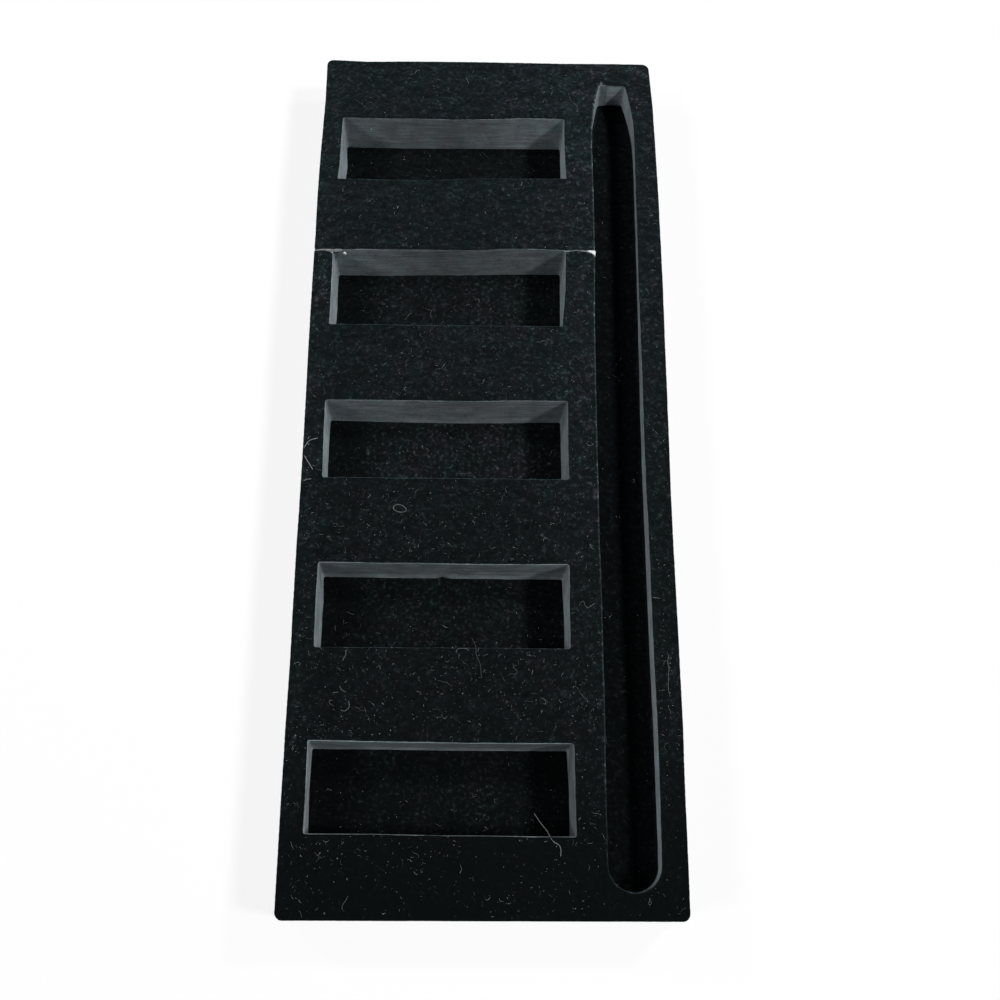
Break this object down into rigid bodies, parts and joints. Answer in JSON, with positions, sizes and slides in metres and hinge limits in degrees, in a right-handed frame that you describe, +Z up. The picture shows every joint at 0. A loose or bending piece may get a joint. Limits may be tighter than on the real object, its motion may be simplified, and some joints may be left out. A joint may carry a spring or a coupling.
{
  "type": "jewelry insert",
  "caption": "Flat velvet-faced foam insert with a column of rectangular pockets beside a long, shallower, tapered slot, on a velvet floor sheet and a base board.",
  "frame": {"origin": "middle of the base board's underside, the face that the insert lies on", "axes": "+Z up out of the pockets' mouths, +Y along the insert's length to the end where the slot narrows, +X across from the pockets to the slot"},
  "size_m": [0.07, 0.1744, 0.0131],
  "materials": {
    "velvet": "short black pile, matt, slightly blue, mottled where it is brushed",
    "foam": "dark grey closed-cell foam, matt, with a fine die-cut grain",
    "board": "dark grey paperboard, matt"
  },
  "bodies": {
    "root": {"base_board": "board", "floor_velvet": "velvet", "foam_block": "foam", "slot_velvet": "velvet", "top_velvet": "velvet"}
  },
  "joints": []
}
